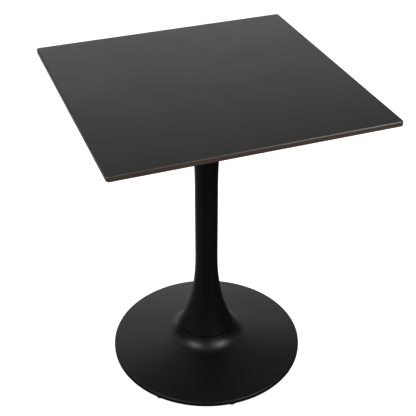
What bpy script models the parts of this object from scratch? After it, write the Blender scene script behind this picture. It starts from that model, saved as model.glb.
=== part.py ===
"""Bistro table: a square compact-laminate top on a waisted tulip column and a round weighted base.

Metres, +Z up. The origin is on the floor at the middle of the base, and the top's edges run along
X and Y.
"""

import math

import bmesh
import bpy
from mathutils import Vector

GAP = 0.0003  # between two solids that touch on the real table

HEIGHT = 0.726  # floor to the upper side of the top

# Top: a pressed board with a thin decor sheet on each side.
TOP_SIDE = 0.600
TOP_THICKNESS = 0.012
TOP_CORNER_RADIUS = 0.006
EDGE_CHAMFER = 0.0016
SHEET_THICKNESS = 0.0004
CORNER_STEPS = 5

# Column: waisted tube, flared at both ends.
COLUMN_LOW = 0.0705
COLUMN_WAIST_RADIUS = 0.0267
COLUMN_WALL = 0.002
FOOT_FLARE_START = 0.274
FOOT_FLARE_SQUARE = 0.0301
FOOT_FLARE_FOURTH = 0.0091
FOOT_EDGE_ROUND = 0.0016
MOUTH_FLARE_START = 0.470
MOUTH_FLARE = 0.0232
FOOT_FLARE_STEPS = 10
MOUTH_FLARE_STEPS = 5

# Base: spun cover over a cast ballast plate.
SKIRT_RADIUS = 0.2322
SKIRT_LOW = 0.0049
RIM_HEIGHT = 0.0154
RIM_ROUND = 0.0030
COVER_WALL = 0.0015
DOME_TOP_SLOPE = math.radians(10.3)
DOME_STEPS = 4
RIM_STEPS = 2
SHOULDER_TOP_RADIUS = 0.0665
SHOULDER_TOP_HEIGHT = 0.0685
SHOULDER_TOP_SLOPE = math.radians(66)
SHOULDER_SWEEP = 0.044  # radius of the hollow curve from the shoulder's top into the dome
SHOULDER_STEPS = 8

BALLAST_RADIUS = 0.2295
BALLAST_LOW = 0.0070
BALLAST_THICKNESS = 0.0060
BALLAST_HUB_LOW_RADIUS = 0.066
BALLAST_HUB_TOP_RADIUS = 0.056
BALLAST_POCKET_RADIUS = 0.024
BALLAST_POCKET_TOP = 0.030

GASKET_THICKNESS = 0.0012
GASKET_RADIUS = 0.0642
GASKET_HOLE_RADIUS = 0.020
FOOT_PLUG_HEIGHT = 0.0085
FOOT_PLUG_PLAY = 0.0004

# Tie rod and its nuts: M16.
ROD_RADIUS = 0.008
ROD_HOLE_RADIUS = 0.0083
ROD_LOW = 0.0095
ROD_NUT_HEIGHT = 0.013
ROD_NUT_FLATS = 0.024
ROD_WASHER_THICKNESS = 0.003
ROD_WASHER_RADIUS = 0.015
ROD_CHAMFER = 0.0012

# Spider: four-arm bracket between the column and the board, with M6 screws into the board's inserts.
SPIDER_THICKNESS = 0.005
SPIDER_DISC_RADIUS = 0.062
SPIDER_ARM_REACH = 0.140
SPIDER_ARM_HALF_WIDTH = 0.016
SPIDER_ARM_STEPS = 6
SPIDER_DISC_STEPS = 4
SPIDER_SPIGOT_RADIUS = 0.0425
SPIDER_SPIGOT_DEPTH = 0.0248
SPIDER_POCKET_RADIUS = 0.019
SPIDER_POCKET_DEPTH = 0.0198
SPIDER_HOLE_RADIUS = 0.0034
RIB_START = 0.052
RIB_END = 0.124
RIB_HALF_WIDTH = 0.003
RIB_DEPTH = 0.010
RIB_END_DEPTH = 0.0015

INSERT_RADIUS = 0.0045
INSERT_BORE_RADIUS = 0.0032
INSERT_LENGTH = 0.0088
INSERT_GROOVE_DEPTH = 0.0004
INSERT_HOLE_RADIUS = 0.0048
INSERT_HOLE_DEPTH = 0.0096
SCREW_RADIUS = 0.0029
SCREW_LENGTH = 0.015
SCREW_HEAD_RADIUS = 0.0055
SCREW_HEAD_HEIGHT = 0.0033
SCREW_HEAD_ROUND = 0.0013
SCREW_SOCKET_FLATS = 0.004
SCREW_SOCKET_DEPTH = 0.002
SCREW_WASHER_RADIUS = 0.0065
SCREW_WASHER_THICKNESS = 0.0014

# Levelling glides: M8 studs, each turning on a pad that only slides.
GLIDE_COUNT = 8
GLIDE_CIRCLE_RADIUS = 0.2215
FIRST_GLIDE_AZIMUTH = math.radians(-5)  # from -Y towards +X
PAD_RADIUS = 0.009
PAD_HEIGHT = 0.0034
PAD_CHAMFER = 0.0007
PAD_SOCKET_RADIUS = 0.0034
PAD_SOCKET_FLOOR = 0.0015
STUD_NECK_RADIUS = 0.0030
STUD_RADIUS = 0.0039
STUD_HOLE_RADIUS = 0.0043
STUD_FLATS = 0.013
STUD_TOP = 0.0147
STUD_CHAMFER = 0.0007

CUTTER_REACH = 0.005  # how far a cutting tool runs past the face it opens
ROD_TOP_ROOM = 0.002
FOOT_WALL_LEAN = 1.14  # the sloping wall is this much thicker when measured level
PAD_STEPS = 16
LARGE_STEPS = 48
MEDIUM_STEPS = 24
SMALL_STEPS = 12
SMOOTH_ANGLE = math.radians(35)
WELD_DISTANCE = 1e-6

BOARD_UNDERSIDE = HEIGHT - TOP_THICKNESS
SPIDER_TOP = BOARD_UNDERSIDE - GAP
SPIDER_LOW = SPIDER_TOP - SPIDER_THICKNESS
COLUMN_TOP = SPIDER_LOW - GAP
INSERT_PLACE = SPIDER_ARM_REACH / math.sqrt(2)
STUD_COLLAR_LOW = PAD_HEIGHT + GAP
STUD_COLLAR_HIGH = BALLAST_LOW - GAP


def clear_scene():
    for thing in list(bpy.data.objects):
        bpy.data.objects.remove(thing, do_unlink=True)


def material(name, colour, roughness, metallic=0.0):
    finish = bpy.data.materials.get(name) or bpy.data.materials.new(name)
    finish.use_nodes = True
    shader = finish.node_tree.nodes["Principled BSDF"]
    shader.inputs["Base Color"].default_value = (*colour, 1)
    shader.inputs["Roughness"].default_value = roughness
    shader.inputs["Metallic"].default_value = metallic
    finish.diffuse_color = (*colour, 1)
    return finish


def black_decor():
    return material("black_decor", (0.015, 0.015, 0.016), 0.45)


def brown_core():
    return material("brown_core", (0.075, 0.048, 0.036), 0.6)


def black_paint():
    return material("black_powder_coat", (0.012, 0.012, 0.013), 0.4)


def black_casting():
    return material("black_casting", (0.018, 0.018, 0.019), 0.65)


def zinc():
    return material("zinc_steel", (0.55, 0.56, 0.57), 0.3, 1.0)


def brass():
    return material("brass", (0.62, 0.47, 0.20), 0.35, 1.0)


def black_rubber():
    return material("black_rubber", (0.01, 0.01, 0.01), 0.8)


def black_nylon():
    return material("black_nylon", (0.014, 0.014, 0.014), 0.5)


def new_piece(name, bm, finish):
    """One named object from a bmesh, smooth where its faces meet at a low angle."""
    bmesh.ops.recalc_face_normals(bm, faces=bm.faces)
    mesh = bpy.data.meshes.new(name)
    bm.to_mesh(mesh)
    bm.free()
    mesh.shade_smooth()
    mesh.set_sharp_from_angle(angle=SMOOTH_ANGLE)
    mesh.materials.append(finish)
    piece = bpy.data.objects.new(name, mesh)
    bpy.context.collection.objects.link(piece)
    return piece


def turned(name, outline, finish, steps):
    """Solid of revolution about Z. The outline is a closed loop of (radius, height) points."""
    bm = bmesh.new()
    corners = [bm.verts.new((radius, 0, height)) for radius, height in outline]
    sides = []
    for first, second in zip(corners, corners[1:] + corners[:1]):
        if first.co.x > 0 or second.co.x > 0:
            sides.append(bm.edges.new((first, second)))
    whole = corners + sides
    bmesh.ops.spin(bm, geom=whole, cent=(0, 0, 0), axis=(0, 0, 1), angle=math.tau, steps=steps)
    bmesh.ops.remove_doubles(bm, verts=bm.verts, dist=WELD_DISTANCE)
    return new_piece(name, bm, finish)


def rod(name, radius, low, high, finish, steps):
    return turned(name, [(0, high), (radius, high), (radius, low), (0, low)], finish, steps)


def ring(name, hole, radius, low, high, finish, steps):
    return turned(name, [(radius, high), (radius, low), (hole, low), (hole, high)], finish, steps)


def prism(name, plan, low, high, finish):
    """Upright prism over a closed plan of (x, y) points."""
    bm = bmesh.new()
    floor = bm.faces.new([bm.verts.new((x, y, low)) for x, y in plan])
    raised = bmesh.ops.extrude_face_region(bm, geom=[floor])["geom"]
    upper = [part for part in raised if isinstance(part, bmesh.types.BMVert)]
    bmesh.ops.translate(bm, verts=upper, vec=(0, 0, high - low))
    return new_piece(name, bm, finish)


def hexagon(flats):
    radius = flats / math.sqrt(3)
    turns = (k * math.tau / 6 for k in range(6))
    return [(radius * math.cos(turn), radius * math.sin(turn)) for turn in turns]


def combine(piece, tool, operation):
    """Boolean with a helper that stays out of the render."""
    tool.hide_render = True
    tool.display_type = "WIRE"
    step = piece.modifiers.new(tool.name, "BOOLEAN")
    step.object = tool
    step.operation = operation
    step.solver = "EXACT"


def bake(piece, tools):
    """Turns the piece's modifiers into mesh, so that its copies can share it, and removes the tools."""
    graph = bpy.context.evaluated_depsgraph_get()
    piece.data = bpy.data.meshes.new_from_object(piece.evaluated_get(graph))
    piece.modifiers.clear()
    for tool in tools:
        bpy.data.objects.remove(tool, do_unlink=True)


def arc(centre, radius, start, end, steps):
    """Points of an arc in a plane, with angles from its first direction towards its second."""
    turns = [start + (end - start) * k / steps for k in range(steps + 1)]
    first, second = centre
    return [(first + radius * math.cos(turn), second + radius * math.sin(turn)) for turn in turns]


def inside_of(outline, wall):
    """The outline moved by the wall's thickness to the right of its direction of travel."""
    moved = []
    for k, point in enumerate(outline):
        before = Vector(outline[max(k - 1, 0)])
        here = Vector(point)
        after = Vector(outline[min(k + 1, len(outline) - 1)])
        ways = [way.normalized() for way in (here - before, after - here) if way.length > 0]
        normals = [Vector((way.y, -way.x)) for way in ways]
        mitre = sum(normals, Vector((0, 0))).normalized()
        moved.append(tuple(here + mitre * wall / mitre.dot(normals[0])))
    return moved


def every_other(outline):
    """Half of the points, ends included: a hidden inner side needs fewer of them."""
    return outline[:-1:2] + outline[-1:]


def column_radius(height):
    """Radius of the outer side: the waist plus a flare towards each end."""
    foot = max(FOOT_FLARE_START - height, 0) / (FOOT_FLARE_START - COLUMN_LOW)
    mouth = max(height - MOUTH_FLARE_START, 0) / (COLUMN_TOP - MOUTH_FLARE_START)
    foot_flare = FOOT_FLARE_SQUARE * foot**2 + FOOT_FLARE_FOURTH * foot**4
    return COLUMN_WAIST_RADIUS + foot_flare + MOUTH_FLARE * mouth**2


def column_outline():
    """Outer side of the column, from its mouth down to its rounded lower edge."""
    mouth = COLUMN_TOP - MOUTH_FLARE_START
    foot = FOOT_FLARE_START - COLUMN_LOW - FOOT_EDGE_ROUND
    heights = [COLUMN_TOP - mouth * k / MOUTH_FLARE_STEPS for k in range(MOUTH_FLARE_STEPS + 1)]
    heights += [FOOT_FLARE_START - foot * k / FOOT_FLARE_STEPS for k in range(FOOT_FLARE_STEPS + 1)]
    return [(column_radius(height), height) for height in heights]


def cover_outline():
    """Outer side of the cover: flat seat, hollow shoulder, crowned dome, rounded rim and skirt."""
    lean = math.pi / 2 - SHOULDER_TOP_SLOPE
    centre_radius = SHOULDER_TOP_RADIUS + SHOULDER_SWEEP * math.cos(lean)
    centre_height = SHOULDER_TOP_HEIGHT + SHOULDER_SWEEP * math.sin(lean)
    turns = (math.pi + lean, 1.5 * math.pi - DOME_TOP_SLOPE)
    shoulder = arc((centre_radius, centre_height), SHOULDER_SWEEP, *turns, SHOULDER_STEPS)
    start_radius, start_height = shoulder[-1]
    run = SKIRT_RADIUS - RIM_ROUND - start_radius
    drop = start_height - RIM_HEIGHT
    crown = (drop - run * math.tan(DOME_TOP_SLOPE)) / 4
    dome = []
    for k in range(1, DOME_STEPS + 1):
        along = k / DOME_STEPS
        height = start_height - drop * along + 4 * crown * along * (1 - along)
        dome.append((start_radius + run * along, height))
    rim_centre = (SKIRT_RADIUS - RIM_ROUND, RIM_HEIGHT - RIM_ROUND)
    rim = arc(rim_centre, RIM_ROUND, math.pi / 2, 0, RIM_STEPS)[1:]
    seat = (ROD_HOLE_RADIUS, SHOULDER_TOP_HEIGHT)
    return [seat] + shoulder + dome + rim + [(SKIRT_RADIUS, SKIRT_LOW)]


def rounded_square(half, radius):
    """Plan of the top at one height: a square with rounded corners."""
    plan = []
    for corner in range(4):
        start = corner * math.pi / 2
        side_x, side_y = (math.copysign(1, way(start + math.pi / 4)) for way in (math.cos, math.sin))
        centre = ((half - radius) * side_x, (half - radius) * side_y)
        plan += arc(centre, radius, start, start + math.pi / 2, CORNER_STEPS)
    return plan


def add_board():
    """Brown core between two thin black decor sheets, with blind holes in its underside."""
    sheet_half = TOP_SIDE / 2 - EDGE_CHAMFER
    sheet_plan = rounded_square(sheet_half, TOP_CORNER_RADIUS - EDGE_CHAMFER)
    core_low = BOARD_UNDERSIDE + SHEET_THICKNESS + GAP
    core_high = HEIGHT - SHEET_THICKNESS - GAP
    prism("tabletop_face_sheet", sheet_plan, HEIGHT - SHEET_THICKNESS, HEIGHT, black_decor())
    core_plan = rounded_square(TOP_SIDE / 2, TOP_CORNER_RADIUS)
    core = prism("tabletop_core", core_plan, core_low, core_high, brown_core())
    edge = core.modifiers.new("edge_chamfer", "BEVEL")
    edge.width = EDGE_CHAMFER
    edge.segments = 1
    edge.limit_method = "ANGLE"
    edge.angle_limit = math.radians(60)
    backing_plan = (sheet_plan, BOARD_UNDERSIDE, BOARD_UNDERSIDE + SHEET_THICKNESS)
    backing = prism("tabletop_backing_sheet", *backing_plan, black_decor())
    for k, (x, y) in enumerate(insert_places(), 1):
        low, high = BOARD_UNDERSIDE - CUTTER_REACH, BOARD_UNDERSIDE + INSERT_HOLE_DEPTH
        hole = rod(f"insert_hole_{k}", INSERT_HOLE_RADIUS, low, high, brown_core(), SMALL_STEPS)
        hole.location = (x, y, 0)
        combine(core, hole, "DIFFERENCE")
        combine(backing, hole, "DIFFERENCE")


def insert_places():
    return [(x * INSERT_PLACE, y * INSERT_PLACE) for x, y in ((1, 1), (-1, 1), (-1, -1), (1, -1))]


def insert_outline():
    """Tubular insert with a shallow groove around its outside."""
    low = BOARD_UNDERSIDE + GAP
    high = low + INSERT_LENGTH
    groove = INSERT_RADIUS - INSERT_GROOVE_DEPTH
    upper, lower = high - INSERT_LENGTH / 3, low + INSERT_LENGTH / 3
    outline = [(INSERT_RADIUS, high), (INSERT_RADIUS, upper), (groove, upper), (groove, lower)]
    outline += [(INSERT_RADIUS, lower), (INSERT_RADIUS, low)]
    return outline + [(INSERT_BORE_RADIUS, low), (INSERT_BORE_RADIUS, high)]


def spider_plan():
    """Plan of the spider: a disc with four round-ended arms on the diagonals."""
    spread = math.asin(SPIDER_ARM_HALF_WIDTH / SPIDER_DISC_RADIUS)
    plan = []
    for arm in range(4):
        way = math.pi / 4 + arm * math.pi / 2
        centre = (SPIDER_ARM_REACH * math.cos(way), SPIDER_ARM_REACH * math.sin(way))
        quarter = math.pi / 2
        plan += arc(centre, SPIDER_ARM_HALF_WIDTH, way - quarter, way + quarter, SPIDER_ARM_STEPS)
        disc_end = way + quarter - spread
        plan += arc((0, 0), SPIDER_DISC_RADIUS, way + spread, disc_end, SPIDER_DISC_STEPS)
    return plan


def add_spider():
    """Cast bracket: arms under the board, a spigot inside the column's mouth and a pocket for the nut."""
    spider = prism("top_spider", spider_plan(), SPIDER_LOW, SPIDER_TOP, black_casting())
    spigot_low = SPIDER_LOW - SPIDER_SPIGOT_DEPTH
    middle = (SPIDER_LOW + SPIDER_TOP) / 2
    spigot = rod("spider_spigot", SPIDER_SPIGOT_RADIUS, spigot_low, middle, black_casting(), MEDIUM_STEPS)
    combine(spider, spigot, "UNION")
    for arm in range(4):
        combine(spider, spider_rib(arm, middle), "UNION")
    pocket_floor = SPIDER_TOP - SPIDER_POCKET_DEPTH
    high = SPIDER_TOP + CUTTER_REACH
    low = spigot_low - CUTTER_REACH
    pocket = [(0, high), (SPIDER_POCKET_RADIUS, high), (SPIDER_POCKET_RADIUS, pocket_floor)]
    pocket += [(ROD_HOLE_RADIUS, pocket_floor), (ROD_HOLE_RADIUS, low), (0, low)]
    combine(spider, turned("spider_pocket", pocket, black_casting(), MEDIUM_STEPS), "DIFFERENCE")
    for k, (x, y) in enumerate(insert_places(), 1):
        hole_low = SPIDER_LOW - RIB_DEPTH - CUTTER_REACH
        hole = rod(f"spider_hole_{k}", SPIDER_HOLE_RADIUS, hole_low, high, black_casting(), SMALL_STEPS)
        hole.location = (x, y, 0)
        combine(spider, hole, "DIFFERENCE")


def spider_rib(arm, high):
    """Wedge under one arm, deepest beside the column's mouth."""
    bm = bmesh.new()
    sides = []
    for y in (-RIB_HALF_WIDTH, RIB_HALF_WIDTH):
        profile = ((RIB_START, high), (RIB_START, SPIDER_LOW - RIB_DEPTH))
        profile += ((RIB_END, SPIDER_LOW - RIB_END_DEPTH), (RIB_END, high))
        sides.append([bm.verts.new((x, y, z)) for x, z in profile])
    near, far = sides
    bm.faces.new(near)
    bm.faces.new(far)
    for k in range(len(near)):
        bm.faces.new((near[k - 1], near[k], far[k], far[k - 1]))
    rib = new_piece(f"spider_rib_{arm + 1}", bm, black_casting())
    rib.rotation_euler.z = math.pi / 4 + arm * math.pi / 2
    return rib


def add_board_fasteners():
    """Insert, washer and socket screw at the end of each spider arm."""
    head_top = SPIDER_LOW - 2 * GAP - SCREW_WASHER_THICKNESS
    head_low = head_top - SCREW_HEAD_HEIGHT
    shank_top = head_top + SCREW_LENGTH
    outline = [(0, shank_top), (SCREW_RADIUS, shank_top), (SCREW_RADIUS, head_top)]
    outline += [(SCREW_HEAD_RADIUS, head_top), (SCREW_HEAD_RADIUS, head_low + SCREW_HEAD_ROUND)]
    outline += [(SCREW_HEAD_RADIUS - SCREW_HEAD_ROUND, head_low), (0, head_low)]
    screw = turned("spider_screw_1", outline, zinc(), SMALL_STEPS)
    socket_low = head_low - CUTTER_REACH
    socket_top = head_low + SCREW_SOCKET_DEPTH
    socket = prism("screw_socket", hexagon(SCREW_SOCKET_FLATS), socket_low, socket_top, zinc())
    combine(screw, socket, "DIFFERENCE")
    bake(screw, [socket])
    high = SPIDER_LOW - GAP
    low = high - SCREW_WASHER_THICKNESS
    radii = (SPIDER_HOLE_RADIUS, SCREW_WASHER_RADIUS)
    washer = ring("spider_washer_1", *radii, low, high, zinc(), SMALL_STEPS)
    insert = turned("board_insert_1", insert_outline(), brass(), SMALL_STEPS)
    for first in (screw, washer, insert):
        for piece, (x, y) in zip(numbered_copies(first, len(insert_places())), insert_places()):
            piece.location = (x, y, 0)


def numbered_copies(first, count):
    """The piece whose name ends in 1, and copies of it with the same mesh and the next numbers."""
    pieces = [first]
    for number in range(2, count + 1):
        piece = first.copy()
        piece.name = first.name[:-1] + str(number)
        bpy.context.collection.objects.link(piece)
        pieces.append(piece)
    return pieces


def add_column():
    outer = column_outline()
    inner = every_other(inside_of(outer, COLUMN_WALL))
    low_edge = (outer[-1][0] - FOOT_EDGE_ROUND, COLUMN_LOW)
    inner[0] = (inner[0][0], COLUMN_TOP)
    inner[-1] = (inner[-1][0], COLUMN_LOW)
    turned("column_shell", outer + [low_edge] + inner[::-1], black_paint(), LARGE_STEPS)


def add_base():
    outer = cover_outline()
    inner = inside_of(outer, COVER_WALL)
    turned("base_cover", outer + inner[::-1], black_paint(), LARGE_STEPS)
    hub_top = SHOULDER_TOP_HEIGHT - COVER_WALL - GAP
    plate_top = BALLAST_LOW + BALLAST_THICKNESS
    outline = [(ROD_HOLE_RADIUS, hub_top), (BALLAST_HUB_TOP_RADIUS, hub_top)]
    outline += [(BALLAST_HUB_LOW_RADIUS, plate_top), (BALLAST_RADIUS, plate_top)]
    outline += [(BALLAST_RADIUS, BALLAST_LOW), (BALLAST_POCKET_RADIUS, BALLAST_LOW)]
    outline += [(BALLAST_POCKET_RADIUS, BALLAST_POCKET_TOP), (ROD_HOLE_RADIUS, BALLAST_POCKET_TOP)]
    ballast = turned("ballast_plate", outline, black_casting(), LARGE_STEPS)
    for k, (x, y) in enumerate(glide_places(), 1):
        low, high = BALLAST_LOW - CUTTER_REACH, plate_top + CUTTER_REACH
        hole = rod(f"stud_hole_{k}", STUD_HOLE_RADIUS, low, high, black_casting(), SMALL_STEPS)
        hole.location = (x, y, 0)
        combine(ballast, hole, "DIFFERENCE")


def add_column_seat():
    """Gasket on the shoulder and the plug that centres the column's flared foot."""
    high = COLUMN_LOW - GAP
    low = high - GASKET_THICKNESS
    radii = (GASKET_HOLE_RADIUS, GASKET_RADIUS)
    ring("column_gasket", *radii, low, high, black_rubber(), MEDIUM_STEPS)
    plug_top = COLUMN_LOW + FOOT_PLUG_HEIGHT
    wall = COLUMN_WALL * FOOT_WALL_LEAN + FOOT_PLUG_PLAY
    top_radius = column_radius(plug_top) - wall
    low_radius = column_radius(COLUMN_LOW + FOOT_EDGE_ROUND) - wall
    outline = [(ROD_HOLE_RADIUS, plug_top), (top_radius, plug_top)]
    outline += [(low_radius, COLUMN_LOW), (ROD_HOLE_RADIUS, COLUMN_LOW)]
    turned("column_foot_plug", outline, black_casting(), MEDIUM_STEPS)


def add_tie_rod():
    """Threaded rod through the whole pedestal, with a washer and a nut in a pocket at each end."""
    high = BOARD_UNDERSIDE - ROD_TOP_ROOM
    narrow = ROD_RADIUS - ROD_CHAMFER
    outline = [(0, high), (narrow, high), (ROD_RADIUS, high - ROD_CHAMFER)]
    outline += [(ROD_RADIUS, ROD_LOW + ROD_CHAMFER), (narrow, ROD_LOW), (0, ROD_LOW)]
    turned("tie_rod", outline, zinc(), SMALL_STEPS)
    pocket_floor = SPIDER_TOP - SPIDER_POCKET_DEPTH
    add_nut_and_washer("top", pocket_floor, 1)
    add_nut_and_washer("bottom", BALLAST_POCKET_TOP, -1)


def add_nut_and_washer(end, seat, way):
    """Washer on the seat and nut on the washer; way is +1 when they stand above the seat."""
    washer = sorted((seat + way * GAP, seat + way * (GAP + ROD_WASHER_THICKNESS)))
    washer_name = f"tie_rod_{end}_washer"
    ring(washer_name, ROD_HOLE_RADIUS, ROD_WASHER_RADIUS, *washer, zinc(), MEDIUM_STEPS)
    nut_start = seat + way * (2 * GAP + ROD_WASHER_THICKNESS)
    low, high = sorted((nut_start, nut_start + way * ROD_NUT_HEIGHT))
    nut = prism(f"tie_rod_{end}_nut", hexagon(ROD_NUT_FLATS), low, high, zinc())
    bore_low, bore_high = low - CUTTER_REACH, high + CUTTER_REACH
    bore = rod(f"{end}_nut_bore", ROD_HOLE_RADIUS, bore_low, bore_high, zinc(), MEDIUM_STEPS)
    combine(nut, bore, "DIFFERENCE")


def glide_places():
    radius = GLIDE_CIRCLE_RADIUS
    turns = [FIRST_GLIDE_AZIMUTH + k * math.tau / GLIDE_COUNT for k in range(GLIDE_COUNT)]
    return [(radius * math.sin(turn), -radius * math.cos(turn)) for turn in turns]


def pad_outline():
    """Round pad with a chamfer on both rims and an open socket for the stud's neck."""
    rim = PAD_RADIUS - PAD_CHAMFER
    outline = [(0, PAD_SOCKET_FLOOR), (PAD_SOCKET_RADIUS, PAD_SOCKET_FLOOR)]
    outline += [(PAD_SOCKET_RADIUS, PAD_HEIGHT), (rim, PAD_HEIGHT)]
    return outline + [(PAD_RADIUS, PAD_HEIGHT - PAD_CHAMFER), (PAD_RADIUS, PAD_CHAMFER), (rim, 0), (0, 0)]


def stud_outline():
    """Neck in the pad's socket, then the threaded shank; the collar covers the step between them."""
    neck_low = PAD_SOCKET_FLOOR + GAP
    step = (STUD_COLLAR_LOW + STUD_COLLAR_HIGH) / 2
    tip = STUD_RADIUS - STUD_CHAMFER
    outline = [(0, neck_low), (STUD_NECK_RADIUS, neck_low), (STUD_NECK_RADIUS, step), (STUD_RADIUS, step)]
    return outline + [(STUD_RADIUS, STUD_TOP - STUD_CHAMFER), (tip, STUD_TOP), (0, STUD_TOP)]


def add_glides():
    """Each glide has an empty on its upright axis, which carries its pad and its threaded stud."""
    pad = turned("glide_pad_1", pad_outline(), black_nylon(), PAD_STEPS)
    stud = turned("glide_stud_1", stud_outline(), zinc(), SMALL_STEPS)
    collar = prism("stud_collar", hexagon(STUD_FLATS), STUD_COLLAR_LOW, STUD_COLLAR_HIGH, zinc())
    combine(stud, collar, "UNION")
    bake(stud, [collar])
    pads, studs = (numbered_copies(first, GLIDE_COUNT) for first in (pad, stud))
    for k, (x, y) in enumerate(glide_places()):
        axis = bpy.data.objects.new(f"glide_axis_{k + 1}", None)
        axis.location = (x, y, 0)
        bpy.context.collection.objects.link(axis)
        pads[k].parent = axis
        studs[k].parent = axis


clear_scene()
add_board()
add_board_fasteners()
add_spider()
add_column()
add_column_seat()
add_base()
add_tie_rod()
add_glides()
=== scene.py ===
import math

import bmesh
import bpy
from mathutils import Matrix, Vector


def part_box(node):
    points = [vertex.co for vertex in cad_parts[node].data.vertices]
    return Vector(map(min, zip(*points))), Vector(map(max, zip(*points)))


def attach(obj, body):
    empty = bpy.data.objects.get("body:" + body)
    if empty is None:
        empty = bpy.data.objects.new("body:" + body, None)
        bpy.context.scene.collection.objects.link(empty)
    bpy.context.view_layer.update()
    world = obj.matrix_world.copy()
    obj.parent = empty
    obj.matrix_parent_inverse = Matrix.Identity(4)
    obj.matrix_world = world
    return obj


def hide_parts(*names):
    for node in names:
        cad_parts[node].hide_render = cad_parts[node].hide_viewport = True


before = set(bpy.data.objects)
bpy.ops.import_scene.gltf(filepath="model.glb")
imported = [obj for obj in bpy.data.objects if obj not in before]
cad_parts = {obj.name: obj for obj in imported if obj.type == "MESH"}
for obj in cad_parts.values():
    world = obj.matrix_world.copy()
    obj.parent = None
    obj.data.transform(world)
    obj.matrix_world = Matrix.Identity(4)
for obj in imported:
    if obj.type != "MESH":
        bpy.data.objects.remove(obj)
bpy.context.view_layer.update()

# Everything is in metres, in the CAD frame. Heights, radii and places that a CAD node's box shows are
# read from it; the values below are the shapes inside those boxes.
GAP = 0.0003
SEAM = 0.00001

BOARD_CORNER_RADIUS = 0.006
BOARD_CHAMFER = 0.0016
ARRIS_ROUND = 0.00020
CAP_INSET = 0.003

COLUMN_WALL = 0.002
COLUMN_WAIST_RADIUS = 0.0267
FOOT_FLARE_START = 0.274
FOOT_FLARE_SQUARE = 0.0301
FOOT_FLARE_FOURTH = 0.0091
FOOT_EDGE_ROUND = 0.0008
MOUTH_FLARE_START = 0.470
MOUTH_FLARE = 0.0232
MOUTH_EDGE_ROUND = 0.0004

COVER_WALL = 0.0015
RIM_HEIGHT = 0.0154
RIM_ROUND = 0.0030
DOME_TOP_SLOPE = math.radians(10.3)
SHOULDER_TOP_RADIUS = 0.0665
SHOULDER_TOP_SLOPE = math.radians(66)
SHOULDER_TOP_ROUND = 0.0004
SHOULDER_SWEEP = 0.044  # radius of the hollow curve from the shoulder's top into the dome
GASKET_HOLE_RADIUS = 0.020
GASKET_ROUND = 0.0004
PLUG_ROOM = 0.0027  # between the column's outer side and the plug: the sloping wall and its play

BALLAST_THICKNESS = 0.0060
BALLAST_HUB_LOW_RADIUS = 0.066
BALLAST_HUB_TOP_RADIUS = 0.056
BALLAST_POCKET_RADIUS = 0.024
BALLAST_POCKET_TOP = 0.030
HUB_FILLET = 0.003
CAST_ROUND = 0.0008

SPIDER_ARM_REACH = 0.140
SPIDER_ARM_HALF_WIDTH = 0.016
SPIDER_DISC_RADIUS = 0.062
SPIDER_THICKNESS = 0.005
SPIDER_SPIGOT_RADIUS = 0.0425
SPIDER_POCKET_RADIUS = 0.019
SPIDER_POCKET_DEPTH = 0.0198
SPIDER_HOLE_RADIUS = 0.0034
ARM_FILLET = 0.004
RIB_START, RIB_END = 0.052, 0.124
RIB_DEPTH, RIB_END_DEPTH = 0.010, 0.0015
RIB_HALF_WIDTH = 0.003
SPIDER_ARMS = 4

# Fasteners: M16 tie rod, M6 screws in threaded inserts, M8 glide studs.
THREAD_FLANK, THREAD_CREST = 1.35, 0.2  # steepness of a thread's flanks and width of its crest
ROD_HOLE_RADIUS = 0.0083
ROD_CHAMFER = 0.0012
ROD_THREAD = 0.040
ROD_PITCH, ROD_THREAD_DEPTH = 0.002, 0.0011
COUNTERSINK = 0.0008
HEX_SIDES = 6
HEX_RIM_ANGLE = math.radians(30)
WASHER_ROUND = 0.0003
SCREW_RADIUS = 0.0029
SCREW_LENGTH = 0.015
SCREW_TIP = 0.0006
SCREW_HEAD_ROUND = 0.0013
SCREW_SOCKET_FLATS = 0.004
SCREW_SOCKET_DEPTH = 0.002
SCREW_PITCH, SCREW_THREAD_DEPTH = 0.001, 0.0005
INSERT_BORE_RADIUS = 0.0032
INSERT_PITCH, INSERT_THREAD_DEPTH = 0.0015, 0.0006
GLIDE_COUNT = 8
PAD_ROUND = 0.0007
PAD_SOCKET_RADIUS = 0.0034
PAD_SOCKET_FLOOR = 0.0015
STUD_HOLE_RADIUS = 0.0043
STUD_NECK_RADIUS = 0.0030
STUD_RADIUS = 0.0039
STUD_TIP = 0.0007
STUD_PITCH, STUD_THREAD_DEPTH = 0.00125, 0.0006

# How finely the meshes follow their shapes, and how helpers cut and compare them.
LATHE_STEPS = 192
SMALL_STEPS = 64
COLUMN_ROWS = 130
DOME_ROWS = 28
RIM_ROWS = 8
SHOULDER_ROWS = 14
CORNER_STEPS = 14
ROUND_STEPS = 5
ARM_END_STEPS = 24
DISC_STEPS = 10
EDGE_SEGMENTS = 3
ROWS_PER_PITCH = 10
SMOOTH_ANGLE = math.radians(32)
CUTTER_REACH = 0.004  # how far a cutting tool runs past the face it opens
SAME_RADIUS = 0.00003  # vertices this near a radius count as lying on it

# Camera: place, and angles in degrees. Yaw is from +Y towards +X and pitch is downwards.
CAMERA_PLACE = (-0.6076, -1.6255, 1.5555)
CAMERA_YAW, CAMERA_PITCH, CAMERA_ROLL = 20.613, 33.500, 0.048
SENSOR, LENS = 36.0, 78.22

# Soft panels at infinity: azimuth, elevation, half width of the even part and of the whole in
# degrees, and strength. Azimuth 0 is +Y and 90 is +X.
ROOM_LIGHT = 0.03
BACKDROP_LIGHT = 1.2
PANELS = (
    (-42, 42, 5, 20, 0.6),
    (78, 42, 4, 20, 0.30),
    (-85, -15, 20, 50, 0.09),
    (-175, -25, 20, 70, 0.03),
    (18, -4, 10, 36, 0.16),
    (-20, -33, 8, 26, 0.25),
    (-113, 48, 5, 20, 1.9),
    (158, 46, 4, 18, 2.2),
    (172, 29, 4, 16, 0.9),
    (-138, 29, 4, 16, 0.5),
)
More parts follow.
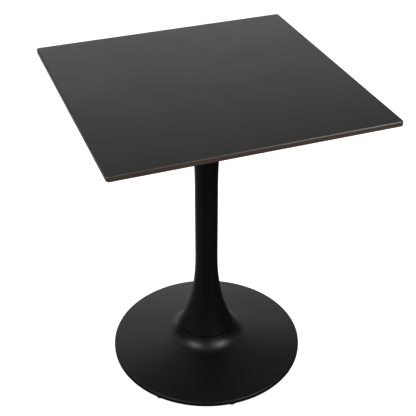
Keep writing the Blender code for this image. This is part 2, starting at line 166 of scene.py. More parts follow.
# Soft boxes near the table: name, place, aim, width, height, watts.
LAMPS = (
    ("back_left", (-0.04, 1.25, 0.55), (-0.04, 0, 0.55), 1.16, 1.6, 3.2),
    ("back_right", (1.1, 1.25, 0.62), (1.1, 0, 0.62), 1.2, 1.8, 2.6),
    ("back_upper", (0.65, 1.25, 1.18), (0.65, 0, 1.18), 2.1, 0.6, 4.0),
    ("front_right", (0.75, -0.95, 1.35), (0.1, -0.2, 0.4), 0.45, 0.45, 8.5),
    ("left", (-0.98, -0.36, 1.36), (-0.2, -0.1, 0.4), 0.45, 0.45, 5.0),
)
FLOOR_HALF = 60
FLOOR_GLOW = 0.9
FLOOR_FILL = 0.22


def box_of(node):
    """Middle, lowest and highest corner of a CAD node."""
    low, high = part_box(node)
    return (low + high) / 2, low, high


# Outlines


def rounded(corners, steps=ROUND_STEPS):
    """Closed outline through (first, second, radius) corners, each rounded to its own radius."""
    points = []
    for k, (first, second, radius) in enumerate(corners):
        here = Vector((first, second))
        if radius == 0:
            points.append(here)
            continue
        back = (Vector(corners[k - 1][:2]) - here).normalized()
        ahead = (Vector(corners[(k + 1) % len(corners)][:2]) - here).normalized()
        half = back.angle(ahead) / 2
        centre = here + (back + ahead).normalized() * radius / math.sin(half)
        start = here + back * radius / math.tan(half) - centre
        end = here + ahead * radius / math.tan(half) - centre
        sweep = math.pi - 2 * half
        for step in range(steps + 1):
            share = step / steps
            parts = (math.sin((1 - share) * sweep), math.sin(share * sweep))
            points.append(centre + (start * parts[0] + end * parts[1]) / math.sin(sweep))
    return points


def arc(centre, radius, start, end, steps):
    turns = [start + (end - start) * k / steps for k in range(steps + 1)]
    return [Vector(centre) + radius * Vector((math.cos(turn), math.sin(turn))) for turn in turns]


def moved_right(outline, distance, closed=False):
    """The outline moved to the right of its direction of travel."""
    moved = []
    last = len(outline) - 1
    for k, here in enumerate(outline):
        before = outline[k - 1] if closed or k > 0 else None
        after = outline[(k + 1) % len(outline)] if closed or k < last else None
        ways = [here - before] if before is not None else []
        ways += [after - here] if after is not None else []
        normals = [Vector((way.y, -way.x)).normalized() for way in ways if way.length > 0]
        mitre = sum(normals, Vector((0, 0))).normalized()
        moved.append(here + mitre * distance / mitre.dot(normals[0]))
    return moved


# Meshes


def piece_from(name, verts, faces):
    """Mesh object with its faces turned outwards."""
    mesh = bpy.data.meshes.new(name)
    mesh.from_pydata(verts, [], faces)
    bm = bmesh.new()
    bm.from_mesh(mesh)
    bmesh.ops.recalc_face_normals(bm, faces=bm.faces)
    bm.to_mesh(mesh)
    bm.free()
    piece = bpy.data.objects.new(name, mesh)
    bpy.context.collection.objects.link(piece)
    return piece


def lathe(name, outline, steps=LATHE_STEPS):
    """Solid turned about Z from a closed loop of (radius, height) points."""
    verts, rings, faces = [], [], []
    for radius, height in outline:
        count = steps if radius > 0 else 1
        rings.append(range(len(verts), len(verts) + count))
        turns = [k * math.tau / steps for k in range(count)]
        verts += [(radius * math.cos(turn), radius * math.sin(turn), height) for turn in turns]
    for low, high in zip(rings, rings[1:] + rings[:1]):
        if len(low) == len(high) == 1:
            continue
        for k in range(steps):
            nearest, following = k, (k + 1) % steps
            corners = [ring[turn % len(ring)] for ring, turn in
                       ((low, nearest), (low, following), (high, following), (high, nearest))]
            faces.append(list(dict.fromkeys(corners)))
    return piece_from(name, verts, faces)


def loft(name, plan, layers):
    """Solid over a counterclockwise plan; each layer is (inset of the plan, height)."""
    verts, faces = [], []
    count = len(plan)
    for inset, height in layers:
        verts += [(*point, height) for point in moved_right(plan, -inset, closed=True)]
    for layer in range(len(layers) - 1):
        low, high = layer * count, (layer + 1) * count
        faces += [(low + k - 1, low + k, high + k, high + k - 1) for k in range(1, count)]
        faces.append((low + count - 1, low, high, high + count - 1))
    faces.append(range(count))
    faces.append(range(len(verts) - count, len(verts)))
    return piece_from(name, verts, faces)


def combine(piece, tools, operation):
    """Boolean with helper solids, applied at once."""
    for tool in tools:
        step = piece.modifiers.new(tool.name, "BOOLEAN")
        step.object = tool
        step.operation = operation
        step.solver = "EXACT"
    graph = bpy.context.evaluated_depsgraph_get()
    piece.data = bpy.data.meshes.new_from_object(piece.evaluated_get(graph))
    piece.modifiers.clear()
    for tool in tools:
        bpy.data.objects.remove(tool, do_unlink=True)
    return piece


def cylinder(name, radius, low, high, place=(0, 0)):
    tool = lathe(name, [(0, low), (radius, low), (radius, high), (0, high)], SMALL_STEPS)
    tool.data.transform(Matrix.Translation((*place, 0)))
    return tool


def add_thread(piece, radius, low, high, pitch, depth):
    """Cuts a right-hand thread into the rows of vertices that lie on a radius between two heights."""
    for vert in piece.data.vertices:
        across = math.hypot(vert.co.x, vert.co.y)
        if abs(across - radius) > SAME_RADIUS or not low < vert.co.z < high:
            continue
        turn = math.atan2(vert.co.y, vert.co.x) / math.tau
        phase = abs(2 * ((vert.co.z / pitch - turn) % 1) - 1)
        cut = min(max(THREAD_FLANK * phase - THREAD_CREST, 0), 1)
        runout = min(vert.co.z - low, high - vert.co.z) / pitch
        share = (across - depth * cut * min(runout, 1)) / across
        vert.co.x *= share
        vert.co.y *= share


def rows(low, high, spacing):
    count = math.ceil((high - low) / spacing)
    return [low + (high - low) * k / count for k in range(count + 1)]


def finished(piece, body, slot, *nodes):
    """Shading, material, body and the CAD nodes that the piece stands for."""
    piece.data.shade_smooth()
    piece.data.set_sharp_from_angle(angle=SMOOTH_ANGLE)
    weights = piece.modifiers.new("flat_faces_stay_flat", "WEIGHTED_NORMAL")
    weights.keep_sharp = True
    piece.data.materials.clear()
    piece.data.materials.append(MATERIALS[slot])
    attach(piece, body)
    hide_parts(*nodes)


# Materials

NOISE_LOW, NOISE_HIGH = 0.3, 0.7  # a noise pattern stays between these nearly everywhere


class Nodes:
    """Helpers that add nodes to a tree and join them."""

    def __init__(self, tree):
        self.tree = tree

    def node(self, kind, inputs, **settings):
        node = self.tree.nodes.new(kind)
        for name, value in settings.items():
            setattr(node, name, value)
        for name, value in inputs.items():
            socket = node.inputs[name]
            if isinstance(value, bpy.types.NodeSocket):
                self.tree.links.new(value, socket)
            else:
                socket.default_value = value
        return node

    def between(self, value, low, high, to_low, to_high):
        """Node output mapped smoothly from one range to another."""
        inputs = {"Value": value, 1: low, 2: high, 3: to_low, 4: to_high}
        return self.node("ShaderNodeMapRange", inputs, interpolation_type="SMOOTHSTEP").outputs[0]

    def sums(self, first, second, operation="ADD"):
        return self.node("ShaderNodeMath", {0: first, 1: second}, operation=operation).outputs[0]


class Finish(Nodes):
    """Node material: a Principled shader and the patterns that feed it."""

    def __init__(self, name, metallic=0.0, specular=0.5):
        self.material = bpy.data.materials.new(name)
        self.material.use_nodes = True
        super().__init__(self.material.node_tree)
        self.shader = self.tree.nodes["Principled BSDF"]
        self.shader.inputs["Metallic"].default_value = metallic
        self.shader.inputs["Specular IOR Level"].default_value = specular
        self.place = self.tree.nodes.new("ShaderNodeTexCoord").outputs["Object"]

    def stretched(self, x, y, z):
        """Place in the piece, with its axes scaled."""
        inputs = {0: self.place, 1: (x, y, z)}
        return self.node("ShaderNodeVectorMath", inputs, operation="MULTIPLY").outputs[0]

    def noise(self, size, detail=2.0, roughness=0.5, place=None, distortion=0.0):
        """Noise whose features are about size metres across."""
        inputs = {"Vector": place or self.place, "Scale": 1 / size, "Detail": detail}
        inputs |= {"Roughness": roughness, "Distortion": distortion}
        return self.node("ShaderNodeTexNoise", inputs).outputs["Fac"]

    def ranged(self, pattern, to_low, to_high, low=NOISE_LOW, high=NOISE_HIGH):
        """Pattern mapped from the range that noise has, or from low and high, to another."""
        return self.between(pattern, low, high, to_low, to_high)

    def cells(self, size):
        """Distance to the middle of the nearest of many small cells."""
        inputs = {"Vector": self.place, "Scale": 1 / size}
        return self.node("ShaderNodeTexVoronoi", inputs).outputs["Distance"]

    def colours(self, factor, first, second):
        inputs = {0: factor, 6: first, 7: second}
        return self.node("ShaderNodeMix", inputs, data_type="RGBA").outputs[2]

    def bump(self, height, depth, below=None):
        inputs = {"Height": height, "Distance": depth}
        if below:
            inputs["Normal"] = below
        return self.node("ShaderNodeBump", inputs).outputs[0]

    def done(self, colour, roughness, normal):
        for name, value in (("Base Color", colour), ("Roughness", roughness), ("Normal", normal)):
            self.tree.links.new(value, self.shader.inputs[name])
        return self.material


def grey(level, warmth=0.0):
    return (level * (1 + warmth), level, level * (1 - warmth), 1)


def decor_black():
    """Satin melamine: a fine pebbled emboss and faint wiping marks."""
    finish = Finish("decor_black")
    emboss = finish.noise(size=0.0007, detail=3, roughness=0.6)
    along_x = finish.stretched(1, 5, 1)
    wiped = finish.noise(size=0.05, detail=3, roughness=0.55, place=along_x, distortion=0.6)
    cloud = finish.noise(size=0.14)
    colour = finish.colours(finish.ranged(emboss, 0, 1, low=0.35), grey(0.0024), grey(0.0038))
    gloss = finish.ranged(wiped, 0.432, 0.448)
    gloss = finish.sums(gloss, finish.ranged(cloud, -0.012, 0.012))
    return finish.done(colour, gloss, finish.bump(emboss, depth=0.000012))


def laminate_core():
    """Sawn and sanded edge of brown paper layers, darker where the resin is denser."""
    finish = Finish("laminate_core", specular=0.6)
    flat, drawn_out, upright = (0.03, 0.03, 6), (0.5, 0.5, 2), (1, 1, 0.08)
    layers = finish.noise(size=0.0022, roughness=0.6, place=finish.stretched(*flat))
    fibres = finish.noise(size=0.0016, detail=3, roughness=0.6, place=finish.stretched(*drawn_out))
    saw = finish.noise(size=0.0012, place=finish.stretched(*upright))
    stain = finish.noise(size=0.03)
    mix = finish.sums(finish.ranged(layers, 0, 0.7), finish.ranged(fibres, -0.1, 0.3))
    mix = finish.sums(mix, finish.ranged(stain, -0.1, 0.1))
    dark, light = (0.042, 0.025, 0.017, 1), (0.090, 0.060, 0.044, 1)
    gloss = finish.ranged(fibres, 0.38, 0.50)
    normal = finish.bump(saw, depth=0.00003)
    return finish.done(finish.colours(mix, dark, light), gloss, finish.bump(layers, 0.00002, normal))


def powder_coat_black():
    """Satin powder coat: orange peel with a finer grain on it."""
    finish = Finish("powder_coat_black")
    peel = finish.noise(size=0.0022, detail=1.5)
    grain = finish.noise(size=0.0006, roughness=0.6)
    cloud = finish.noise(size=0.07)
    speckle = finish.ranged(grain, 0, 1, low=0.4, high=0.75)
    gloss = finish.ranged(cloud, 0.37, 0.40)
    gloss = finish.sums(gloss, finish.ranged(grain, -0.015, 0.015))
    normal = finish.bump(grain, 0.000006, finish.bump(peel, depth=0.00002))
    return finish.done(finish.colours(speckle, grey(0.0013), grey(0.0023)), gloss, normal)


def casting_black():
    """Painted iron casting: sand texture with small pits."""
    finish = Finish("casting_black", specular=0.4)
    sand = finish.noise(size=0.0016, detail=4, roughness=0.65)
    pits = finish.ranged(finish.cells(size=0.006), 0, 1, low=0.02, high=0.16)
    flow = finish.noise(size=0.018, detail=3)
    colour = finish.colours(finish.ranged(sand, 0, 1), grey(0.009), grey(0.019, warmth=0.03))
    normal = finish.bump(pits, 0.00010, finish.bump(sand, depth=0.00018))
    return finish.done(colour, finish.ranged(flow, 0.52, 0.68), normal)


def zinc_steel():
    """Bright zinc plate: slight bluish clouds and fine turning marks."""
    finish = Finish("zinc_steel", metallic=1.0)
    cloud = finish.noise(size=0.006, detail=3, roughness=0.6)
    marks = finish.noise(size=0.0011, detail=3, roughness=0.6, place=finish.stretched(1, 1, 7))
    bluish, yellowish = (0.44, 0.46, 0.49, 1), (0.60, 0.59, 0.56, 1)
    colour = finish.colours(finish.ranged(cloud, 0, 1, low=0.35), bluish, yellowish)
    return finish.done(colour, finish.ranged(marks, 0.26, 0.42), finish.bump(marks, depth=0.000015))


def insert_brass():
    """Turned brass with a little tarnish."""
    finish = Finish("insert_brass", metallic=1.0)
    tarnish = finish.noise(size=0.003, detail=3, roughness=0.6)
    marks = finish.noise(size=0.0008, place=finish.stretched(1, 1, 8))
    dull, bright = (0.55, 0.38, 0.14, 1), (0.70, 0.54, 0.26, 1)
    colour = finish.colours(finish.ranged(tarnish, 0, 1, low=0.35), dull, bright)
    return finish.done(colour, finish.ranged(marks, 0.28, 0.42), finish.bump(marks, depth=0.000012))


def gasket_rubber():
    """Matt rubber with a fine moulded grain."""
    finish = Finish("gasket_rubber", specular=0.3)
    grain = finish.noise(size=0.0005, detail=3, roughness=0.6)
    dust = finish.noise(size=0.008, detail=4, roughness=0.7)
    dusty = finish.ranged(dust, 0, 1, low=0.45, high=0.8)
    colour = finish.colours(dusty, grey(0.004), grey(0.011, warmth=0.02))
    return finish.done(colour, finish.ranged(grain, 0.7, 0.85), finish.bump(grain, depth=0.00002))


def glide_nylon():
    """Moulded nylon: a soft sheen with flow marks."""
    finish = Finish("glide_nylon")
    grain = finish.noise(size=0.0007, detail=3, roughness=0.6)
    flow = finish.noise(size=0.006, distortion=1.0)
    colour = finish.colours(finish.ranged(flow, 0, 1, low=0.35), grey(0.007), grey(0.013))
    gloss = finish.ranged(flow, 0.42, 0.55)
    return finish.done(colour, gloss, finish.bump(grain, depth=0.00002))


FINISHES = (decor_black, laminate_core, powder_coat_black, casting_black, zinc_steel, insert_brass,
            gasket_rubber, glide_nylon)
MATERIALS = {make.__name__: make() for make in FINISHES}


# Top


def square_plan(half, radius):
    """Plan of the top, counterclockwise, with rounded corners."""
    corners = [(x * half, y * half, radius) for x, y in ((1, 1), (-1, 1), (-1, -1), (1, -1))]
    return rounded(corners, CORNER_STEPS)


def rim_layers(*corners):
    """Layers of a lofted plate from the corners of its rim, each (inset, height, radius), bottom first."""
    (_, low, _), (_, high, _) = corners[0], corners[-1]
    outline = rounded([(CAP_INSET, low, 0), *corners, (CAP_INSET, high, 0)])
    return [tuple(point) for point in outline]


def add_board():
    """Brown core between two black decor sheets, with a chamfer on both rims."""
    _, low, _ = box_of("tabletop_backing_sheet")
    _, _, high = box_of("tabletop_face_sheet")
    sheet = high.z - box_of("tabletop_face_sheet")[1].z
    plan = square_plan(box_of("tabletop_core")[2].x, BOARD_CORNER_RADIUS)
    cut = BOARD_CHAMFER - sheet
    face_rim = ((cut, high.z - sheet, 0), (BOARD_CHAMFER, high.z, ARRIS_ROUND))
    backing_rim = ((BOARD_CHAMFER, low.z, ARRIS_ROUND), (cut, low.z + sheet, 0))
    core_low, core_high = low.z + sheet + SEAM, high.z - sheet - SEAM
    core_rim = ((cut, core_low, 0), (0, core_low + cut, ARRIS_ROUND))
    core_rim += ((0, core_high - cut, ARRIS_ROUND), (cut, core_high, 0))
    face = loft("board_face", plan, rim_layers(*face_rim))
    backing = loft("board_backing", plan, rim_layers(*backing_rim))
    core = loft("board_core", plan, rim_layers(*core_rim))
    middle, _, insert_high = box_of("board_insert_1")
    radius = insert_high.x - middle.x + GAP
    for piece in (core, backing):
        tools = []
        for k, place in enumerate(insert_places()):
            reach = (low.z - CUTTER_REACH, insert_high.z + GAP)
            tools.append(cylinder(f"insert_hole_{k}", radius, *reach, place))
        combine(piece, tools, "DIFFERENCE")
    finished(face, "table", "decor_black", "tabletop_face_sheet")
    finished(backing, "table", "decor_black", "tabletop_backing_sheet")
    finished(core, "table", "laminate_core", "tabletop_core")


def insert_places():
    return [box_of(f"board_insert_{k}")[0].xy for k in range(1, SPIDER_ARMS + 1)]


# Pedestal


def column_radius(height, low, high):
    """Radius of the outer side: the waist plus a flare towards each end."""
    foot = max(FOOT_FLARE_START - height, 0) / (FOOT_FLARE_START - low)
    mouth = max(height - MOUTH_FLARE_START, 0) / (high - MOUTH_FLARE_START)
    foot_flare = FOOT_FLARE_SQUARE * foot**2 + FOOT_FLARE_FOURTH * foot**4
    return COLUMN_WAIST_RADIUS + foot_flare + MOUTH_FLARE * mouth**2


def add_column():
    """Waisted tube with a rolled lower edge."""
    _, low, high = box_of("column_shell")
    spacing = (high.z - low.z) / COLUMN_ROWS
    heights = [high.z - k * spacing for k in range(COLUMN_ROWS)] + [low.z]
    outer = [Vector((column_radius(height, low.z, high.z), height)) for height in heights]
    inner = moved_right(outer, COLUMN_WALL)
    inner[0].y, inner[-1].y = high.z, low.z
    edges = {0: MOUTH_EDGE_ROUND, COLUMN_ROWS: FOOT_EDGE_ROUND}
    corners = [(*point, edges.get(k, 0)) for k, point in enumerate(outer)]
    corners += [(*point, 0) for point in reversed(inner)]
    column = lathe("pedestal_column", rounded(corners))
    finished(column, "table", "powder_coat_black", "column_shell")


def cover_outline():
    """Outer side of the cover: flat seat, hollow shoulder, slightly crowned dome and rounded rim."""
    _, low, high = box_of("base_cover")
    skirt = high.x
    top = Vector((SHOULDER_TOP_RADIUS, high.z))
    steepest, flattest = SHOULDER_TOP_SLOPE, DOME_TOP_SLOPE
    sweep_centre = top + SHOULDER_SWEEP * Vector((math.sin(steepest), math.cos(steepest)))
    turns = (1.5 * math.pi - steepest, 1.5 * math.pi - flattest)
    shoulder = arc(sweep_centre, SHOULDER_SWEEP, *turns, SHOULDER_ROWS)
    dome_start = shoulder[-1]
    fall = math.atan2(dome_start.y - RIM_HEIGHT, skirt - RIM_ROUND - dome_start.x)
    rim_slope = 2 * fall - flattest
    rim_centre = Vector((skirt - RIM_ROUND, RIM_HEIGHT - RIM_ROUND))
    rim = arc(rim_centre, RIM_ROUND, math.pi / 2 - rim_slope, 0, RIM_ROWS)
    crown = (rim[0].x - dome_start.x) * (math.tan(fall) - math.tan(flattest))
    dome = []
    for k in range(1, DOME_ROWS):
        share = k / DOME_ROWS
        dome.append(dome_start.lerp(rim[0], share) + Vector((0, crown * share * (1 - share))))
    seat = [(ROD_HOLE_RADIUS, high.z, 0), (*top, SHOULDER_TOP_ROUND), (*shoulder[1], 0)]
    return [*rounded(seat)[:-1], *shoulder[2:], *dome, *rim, Vector((skirt, low.z + COVER_WALL))]


def add_cover():
    """Spun cover with a rounded lip."""
    outer = cover_outline()
    inner = moved_right(outer, COVER_WALL)
    lip_radius = COVER_WALL / 2
    lip_centre = (outer[-1] + inner[-1]) / 2
    lip_centre.y = box_of("base_cover")[1].z + lip_radius
    lip = arc(lip_centre, lip_radius, 0, -math.pi, ROUND_STEPS)
    cover = lathe("pedestal_cover", outer[:-1] + lip + inner[-2::-1])
    finished(cover, "table", "powder_coat_black", "base_cover")


def turned_piece(name, node, slot, corners):
    """Lathe piece of the fixed table through rounded corners, standing for one CAD node."""
    finished(lathe(name, rounded(corners)), "table", slot, node)


def add_gasket_and_plug():
    _, low, high = box_of("column_gasket")
    corners = [(r, z, GASKET_ROUND) for r, z in ((GASKET_HOLE_RADIUS, high.z), (high.x, high.z))]
    corners += [(r, z, GASKET_ROUND) for r, z in ((high.x, low.z), (GASKET_HOLE_RADIUS, low.z))]
    turned_piece("foot_gasket", "column_gasket", "gasket_rubber", corners)
    _, low, high = box_of("column_foot_plug")
    top_radius = column_radius(high.z, low.z, box_of("column_shell")[2].z) - PLUG_ROOM
    corners = [(ROD_HOLE_RADIUS, high.z, CAST_ROUND), (top_radius, high.z, CAST_ROUND)]
    corners += [(high.x, low.z, CAST_ROUND), (ROD_HOLE_RADIUS, low.z, CAST_ROUND)]
    turned_piece("foot_plug", "column_foot_plug", "casting_black", corners)


def add_ballast():
    """Cast plate with a hub that fills the shoulder and a pocket for the lower nut."""
    _, low, high = box_of("ballast_plate")
    plate_top = low.z + BALLAST_THICKNESS
    corners = [(ROD_HOLE_RADIUS, high.z, CAST_ROUND), (BALLAST_HUB_TOP_RADIUS, high.z, 2 * CAST_ROUND)]
    corners += [(BALLAST_HUB_LOW_RADIUS, plate_top, HUB_FILLET), (high.x, plate_top, 2 * CAST_ROUND)]
    corners += [(high.x, low.z, CAST_ROUND), (BALLAST_POCKET_RADIUS, low.z, 2 * CAST_ROUND)]
    corners += [(BALLAST_POCKET_RADIUS, BALLAST_POCKET_TOP, CAST_ROUND)]
    corners += [(ROD_HOLE_RADIUS, BALLAST_POCKET_TOP, CAST_ROUND / 2)]
    ballast = lathe("ballast_casting", rounded(corners))
    tools = []
    for k in range(1, GLIDE_COUNT + 1):
        place = box_of(f"glide_pad_{k}")[0].xy
        reach = (low.z - CUTTER_REACH, plate_top + CUTTER_REACH)
        tools.append(cylinder(f"stud_hole_{k}", STUD_HOLE_RADIUS, *reach, place))
    combine(ballast, tools, "DIFFERENCE")
    finished(ballast, "table", "casting_black", "ballast_plate")


# Spider


def arm_way(arm):
    """Angle of a spider arm from +X: the arms lie on the diagonals."""
    return (arm + 0.5) * math.tau / SPIDER_ARMS


def spider_plan():
    """Disc with round-ended arms; the inner corners are filleted."""
    spread = math.asin(SPIDER_ARM_HALF_WIDTH / SPIDER_DISC_RADIUS)
    root_reach = math.sqrt(SPIDER_DISC_RADIUS**2 - SPIDER_ARM_HALF_WIDTH**2)
    corners = []
    for arm in range(SPIDER_ARMS):
        way = arm_way(arm)
        along = Vector((math.cos(way), math.sin(way)))
        side = Vector((-along.y, along.x)) * SPIDER_ARM_HALF_WIDTH
        turns = (way - math.pi / 2, way + math.pi / 2)
        end = arc(SPIDER_ARM_REACH * along, SPIDER_ARM_HALF_WIDTH, *turns, ARM_END_STEPS)
        corners.append((*(root_reach * along - side), ARM_FILLET))
        corners += [(*point, 0) for point in end]
        corners.append((*(root_reach * along + side), ARM_FILLET))
        turns = (way + 2 * spread, arm_way(arm + 1) - 2 * spread)
        corners += [(*point, 0) for point in arc((0, 0), SPIDER_DISC_RADIUS, *turns, DISC_STEPS)]
    return rounded(corners)


def spider_rib(arm, low, high):
    """Wedge under one arm, deepest beside the column's mouth."""
    verts = []
    for y in (-RIB_HALF_WIDTH, RIB_HALF_WIDTH):
        verts += [(RIB_START, y, high), (RIB_START, y, low - RIB_DEPTH)]
        verts += [(RIB_END, y, low - RIB_END_DEPTH), (RIB_END, y, high)]
    faces = [(0, 1, 2, 3), (4, 5, 6, 7)] + [(k, (k + 1) % 4, (k + 1) % 4 + 4, k + 4) for k in range(4)]
    rib = piece_from(f"rib_{arm}", verts, faces)
    rib.data.transform(Matrix.Rotation(arm_way(arm), 4, "Z"))
    edge = rib.modifiers.new("cast_edge", "BEVEL")
    edge.width = CAST_ROUND
    edge.segments = EDGE_SEGMENTS
    return rib


def add_spider():
    _, _, high = box_of("top_spider")
    low = high.z - SPIDER_THICKNESS
    rim = rim_layers((0, low, CAST_ROUND), (0, high.z, CAST_ROUND))
    spider = loft("spider_casting", spider_plan(), rim)
    spigot_low = box_of("top_spider")[1].z
    inside = high.z - SPIDER_THICKNESS / 2
    corners = [(0, spigot_low, 0), (SPIDER_SPIGOT_RADIUS, spigot_low, 2 * CAST_ROUND)]
    corners += [(SPIDER_SPIGOT_RADIUS, inside, 0), (0, inside, 0)]
    tools = [lathe("spigot", rounded(corners))]
    tools += [spider_rib(arm, low, inside) for arm in range(SPIDER_ARMS)]
    combine(spider, tools, "UNION")
    above, below = high.z + CUTTER_REACH, spigot_low - CUTTER_REACH
    floor = high.z - SPIDER_POCKET_DEPTH
    corners = [(0, above), (SPIDER_POCKET_RADIUS, above), (SPIDER_POCKET_RADIUS, floor)]
    corners += [(ROD_HOLE_RADIUS, floor), (ROD_HOLE_RADIUS, below), (0, below)]
    tools = [lathe("nut_pocket", corners, SMALL_STEPS)]
    for k, place in enumerate(insert_places()):
        tools.append(cylinder(f"screw_hole_{k}", SPIDER_HOLE_RADIUS, below, above, place))
    combine(spider, tools, "DIFFERENCE")
    finished(spider, "table", "casting_black", "top_spider")


# Fasteners


def hexagon(flats):
    """Plan of a hexagon with this width across its flats."""
    return arc((0, 0), flats / math.sqrt(3), 0, math.tau * (1 - 1 / HEX_SIDES), HEX_SIDES - 1)


def hex_solid(name, flats, low, high):
    """Hexagon bar end with both rims turned down to a chamfer."""
    solid = loft(name, hexagon(flats), [(0, low), (0, high)])
    face = flats / 2
    reach = flats / math.sqrt(3) + GAP
    drop = (reach - face) * math.tan(HEX_RIM_ANGLE)
    turned = [(0, low), (face, low), (reach, low + drop), (reach, high - drop), (face, high), (0, high)]
    return combine(solid, [lathe("turned_rims", turned, SMALL_STEPS)], "INTERSECT")


def add_rod_nut(end):
    _, low, high = box_of(f"tie_rod_{end}_nut")
    nut = hex_solid(f"rod_{end}_nut", high.y - low.y, low.z, high.z)
    mouth = ROD_HOLE_RADIUS + COUNTERSINK + CUTTER_REACH
    below, above = low.z - CUTTER_REACH, high.z + CUTTER_REACH
    bore = [(0, below), (mouth, below), (ROD_HOLE_RADIUS, low.z + COUNTERSINK)]
    bore += [(ROD_HOLE_RADIUS, high.z - COUNTERSINK), (mouth, above), (0, above)]
    combine(nut, [lathe("bore", bore, SMALL_STEPS)], "DIFFERENCE")
    finished(nut, "table", "zinc_steel", f"tie_rod_{end}_nut")


def washer_corners(hole, radius, low, high):
    return [(hole, high, WASHER_ROUND), (radius, high, WASHER_ROUND), (radius, low, WASHER_ROUND),
            (hole, low, WASHER_ROUND)]


def add_tie_rod():
    """M16 rod, threaded at both ends, with its washers and nuts."""
    _, low, high = box_of("tie_rod")
    radius = high.x
    tip = radius - ROD_CHAMFER
    thread_rows = ROD_PITCH / ROWS_PER_PITCH
    outline = [(0, low.z), (tip, low.z)]
    outline += [(radius, z) for z in rows(low.z + ROD_CHAMFER, low.z + ROD_THREAD, thread_rows)]
    outline += [(radius, z) for z in rows(high.z - ROD_THREAD, high.z - ROD_CHAMFER, thread_rows)]
    outline += [(tip, high.z), (0, high.z)]
    rod = lathe("threaded_rod", outline, SMALL_STEPS)
    for start, end in ((low.z, low.z + ROD_THREAD), (high.z - ROD_THREAD, high.z)):
        add_thread(rod, radius, start, end, ROD_PITCH, ROD_THREAD_DEPTH)
    finished(rod, "table", "zinc_steel", "tie_rod")
    for end in ("top", "bottom"):
        add_rod_nut(end)
        _, low, high = box_of(f"tie_rod_{end}_washer")
        corners = washer_corners(ROD_HOLE_RADIUS, high.x, low.z, high.z)
        turned_piece(f"rod_{end}_washer", f"tie_rod_{end}_washer", "zinc_steel", corners)


def centred(node):
    """Lowest and highest corner of a CAD node, measured from its own upright axis."""
    middle, low, high = box_of(node)
    axis = Vector((middle.x, middle.y, 0))
    return low - axis, high - axis


def placed_copies(first, name, node, count, slot, body=None):
    """The first piece and its copies, each on its own CAD node's axis; body names a moving one."""
    for k in range(1, count + 1):
        piece = first if k == 1 else first.copy()
        piece.name = f"{name}_{k}"
        if k > 1:
            bpy.context.collection.objects.link(piece)
        middle = box_of(f"{node}_{k}")[0]
        piece.location = (middle.x, middle.y, 0)
        finished(piece, f"{body}_{k}" if body else "table", slot, f"{node}_{k}")


def add_socket_screws():
    """M6 screws with a hexagon socket."""
    low, high = centred("spider_screw_1")
    head_top = high.z - SCREW_LENGTH
    thread_rows = SCREW_PITCH / ROWS_PER_PITCH
    outline = [(0, low.z, 0), (high.x, low.z, SCREW_HEAD_ROUND), (high.x, head_top, WASHER_ROUND)]
    outline += [(SCREW_RADIUS, z, 0) for z in rows(head_top, high.z - SCREW_TIP, thread_rows)]
    outline += [(SCREW_RADIUS - SCREW_TIP, high.z, 0), (0, high.z, 0)]
    screw = lathe("socket_screw", rounded(outline), SMALL_STEPS)
    add_thread(screw, SCREW_RADIUS, head_top + GAP, high.z, SCREW_PITCH, SCREW_THREAD_DEPTH)
    reach = [(0, low.z - CUTTER_REACH), (0, low.z + SCREW_SOCKET_DEPTH)]
    combine(screw, [loft("socket", hexagon(SCREW_SOCKET_FLATS), reach)], "DIFFERENCE")
    placed_copies(screw, "socket_screw", "spider_screw", SPIDER_ARMS, "zinc_steel")


def add_threaded_inserts():
    """Brass bushes with a coarse outer thread."""
    low, high = centred("board_insert_1")
    thread_rows = INSERT_PITCH / ROWS_PER_PITCH
    outline = [(INSERT_BORE_RADIUS, low.z)]
    outline += [(high.x, z) for z in rows(low.z, high.z, thread_rows)]
    outline += [(INSERT_BORE_RADIUS, high.z)]
    insert = lathe("threaded_insert", outline, SMALL_STEPS)
    add_thread(insert, high.x, low.z, high.z, INSERT_PITCH, INSERT_THREAD_DEPTH)
    placed_copies(insert, "threaded_insert", "board_insert", SPIDER_ARMS, "insert_brass")


def add_board_fasteners():
    """Insert, washer and socket screw at the end of each spider arm."""
    add_socket_screws()
    low, high = centred("spider_washer_1")
    corners = washer_corners(SPIDER_HOLE_RADIUS, high.x, low.z, high.z)
    washer = lathe("plain_washer", rounded(corners), SMALL_STEPS)
    placed_copies(washer, "plain_washer", "spider_washer", SPIDER_ARMS, "zinc_steel")
    add_threaded_inserts()


# Glides


def add_pads():
    """Nylon pads, each with a socket for its stud."""
    low, high = centred("glide_pad_1")
    corners = [(0, low.z, 0), (high.x, low.z, PAD_ROUND), (high.x, high.z, PAD_ROUND)]
    corners += [(PAD_SOCKET_RADIUS, high.z, WASHER_ROUND)]
    corners += [(PAD_SOCKET_RADIUS, PAD_SOCKET_FLOOR, WASHER_ROUND), (0, PAD_SOCKET_FLOOR, 0)]
    pad = lathe("levelling_pad", rounded(corners), SMALL_STEPS)
    placed_copies(pad, "levelling_pad", "glide_pad", GLIDE_COUNT, "glide_nylon", "pad")


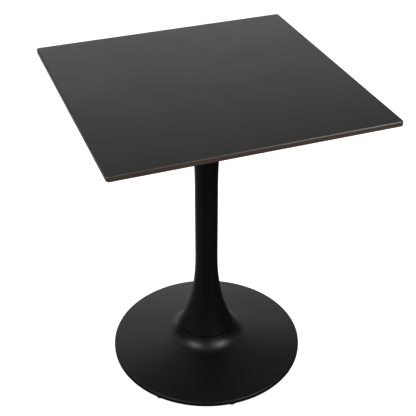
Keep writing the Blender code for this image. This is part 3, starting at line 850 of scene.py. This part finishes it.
def add_studs():
    """M8 studs with a plain neck in the pad and a hexagon collar above it."""
    low, high = centred("glide_stud_1")
    collar_low = box_of("glide_pad_1")[2].z + GAP
    collar_high = box_of("ballast_plate")[1].z - GAP
    middle = (collar_low + collar_high) / 2
    thread_rows = STUD_PITCH / ROWS_PER_PITCH
    outline = [(0, low.z), (STUD_NECK_RADIUS, low.z), (STUD_NECK_RADIUS, middle)]
    outline += [(STUD_RADIUS, z) for z in rows(middle, high.z - STUD_TIP, thread_rows)]
    outline += [(STUD_RADIUS - STUD_TIP, high.z), (0, high.z)]
    stud = lathe("levelling_stud", outline, SMALL_STEPS)
    add_thread(stud, STUD_RADIUS, collar_high, high.z, STUD_PITCH, STUD_THREAD_DEPTH)
    flats = min(high.x - low.x, high.y - low.y)
    combine(stud, [hex_solid("collar", flats, collar_low, collar_high)], "UNION")
    placed_copies(stud, "levelling_stud", "glide_stud", GLIDE_COUNT, "zinc_steel", "stud")


# Studio


def direction(azimuth, elevation):
    """Unit vector; azimuth 0 is +Y, 90 is +X, in degrees."""
    turn, rise = math.radians(azimuth), math.radians(elevation)
    return Vector((math.sin(turn) * math.cos(rise), math.cos(turn) * math.cos(rise), math.sin(rise)))


def add_sky():
    """Soft white panels round the table on a dim room; the camera sees plain white behind the floor."""
    world = bpy.data.worlds.new("studio")
    bpy.context.scene.world = world
    world.use_nodes = True
    nodes = Nodes(world.node_tree)
    way = nodes.node("ShaderNodeTexCoord", {}).outputs["Generated"]
    light = ROOM_LIGHT
    for azimuth, elevation, inner, outer, strength in PANELS:
        inputs = {0: way, 1: direction(azimuth, elevation)}
        nearness = nodes.node("ShaderNodeVectorMath", inputs, operation="DOT_PRODUCT").outputs["Value"]
        edges = (math.cos(math.radians(outer)), math.cos(math.radians(inner)))
        light = nodes.sums(nodes.between(nearness, *edges, 0, strength), light)
    background = world.node_tree.nodes["Background"]
    background.inputs["Color"].default_value = (1, 1, 1, 1)
    seen = nodes.node("ShaderNodeLightPath", {}).outputs["Is Camera Ray"]
    whiter = nodes.sums(nodes.sums(seen, BACKDROP_LIGHT, "MULTIPLY"), light, "MAXIMUM")
    world.node_tree.links.new(whiter, background.inputs["Strength"])


def add_lamp(name, place, aim, width, height, power):
    lamp = bpy.data.lights.new(name, "AREA")
    lamp.shape = "RECTANGLE"
    lamp.size = width
    lamp.size_y = height
    lamp.energy = power
    holder = bpy.data.objects.new(name, lamp)
    holder.visible_camera = False
    holder.location = place
    holder.rotation_euler = (Vector(aim) - Vector(place)).to_track_quat("-Z", "Y").to_euler()
    bpy.context.collection.objects.link(holder)


def add_floor():
    """Pale glowing floor, clear when it is seen from below, so that the underside can be looked at."""
    nodes = Finish("studio_floor", specular=0.0)
    cloud = nodes.noise(size=0.6)
    colour = nodes.colours(cloud, grey(0.80), grey(0.82))
    nodes.shader.inputs["Emission Color"].default_value = (1, 1, 1, 1)
    seen = nodes.node("ShaderNodeLightPath", {}).outputs["Is Camera Ray"]
    glow = nodes.sums(nodes.sums(seen, FLOOR_GLOW, "MULTIPLY"), FLOOR_FILL, "MAXIMUM")
    nodes.tree.links.new(glow, nodes.shader.inputs["Emission Strength"])
    rough = nodes.ranged(cloud, 0.9, 0.95, low=0, high=1)
    paper = nodes.done(colour, rough, nodes.bump(nodes.noise(size=0.004), depth=0.0001))
    verts = [(x * FLOOR_HALF, y * FLOOR_HALF, 0) for x, y in ((-1, -1), (1, -1), (1, 1), (-1, 1))]
    floor = piece_from("studio_floor", verts, [(0, 1, 2, 3)])
    below = nodes.node("ShaderNodeNewGeometry", {}).outputs["Backfacing"]
    clear = nodes.node("ShaderNodeBsdfTransparent", {}).outputs[0]
    surface = {0: below, 1: nodes.shader.outputs[0], 2: clear}
    seen_from_above = nodes.node("ShaderNodeMixShader", surface).outputs[0]
    nodes.tree.links.new(seen_from_above, nodes.tree.nodes["Material Output"].inputs["Surface"])
    floor.data.materials.append(paper)
    floor.visible_glossy = False


def add_camera():
    camera = bpy.data.cameras.new("camera")
    camera.sensor_width = SENSOR
    camera.lens = LENS
    holder = bpy.data.objects.new("camera", camera)
    yaw, pitch, roll = (math.radians(angle) for angle in (CAMERA_YAW, CAMERA_PITCH, CAMERA_ROLL))
    turn = Matrix.Rotation(-yaw, 4, "Z") @ Matrix.Rotation(math.pi / 2 - pitch, 4, "X")
    holder.matrix_world = Matrix.Translation(CAMERA_PLACE) @ turn @ Matrix.Rotation(roll, 4, "Z")
    bpy.context.collection.objects.link(holder)
    bpy.context.scene.camera = holder


add_board()
add_column()
add_cover()
add_gasket_and_plug()
add_ballast()
add_spider()
add_tie_rod()
add_board_fasteners()
add_pads()
add_studs()
add_sky()
for lamp in LAMPS:
    add_lamp(*lamp)
add_floor()
add_camera()
bpy.context.scene.view_settings.view_transform = "Standard"
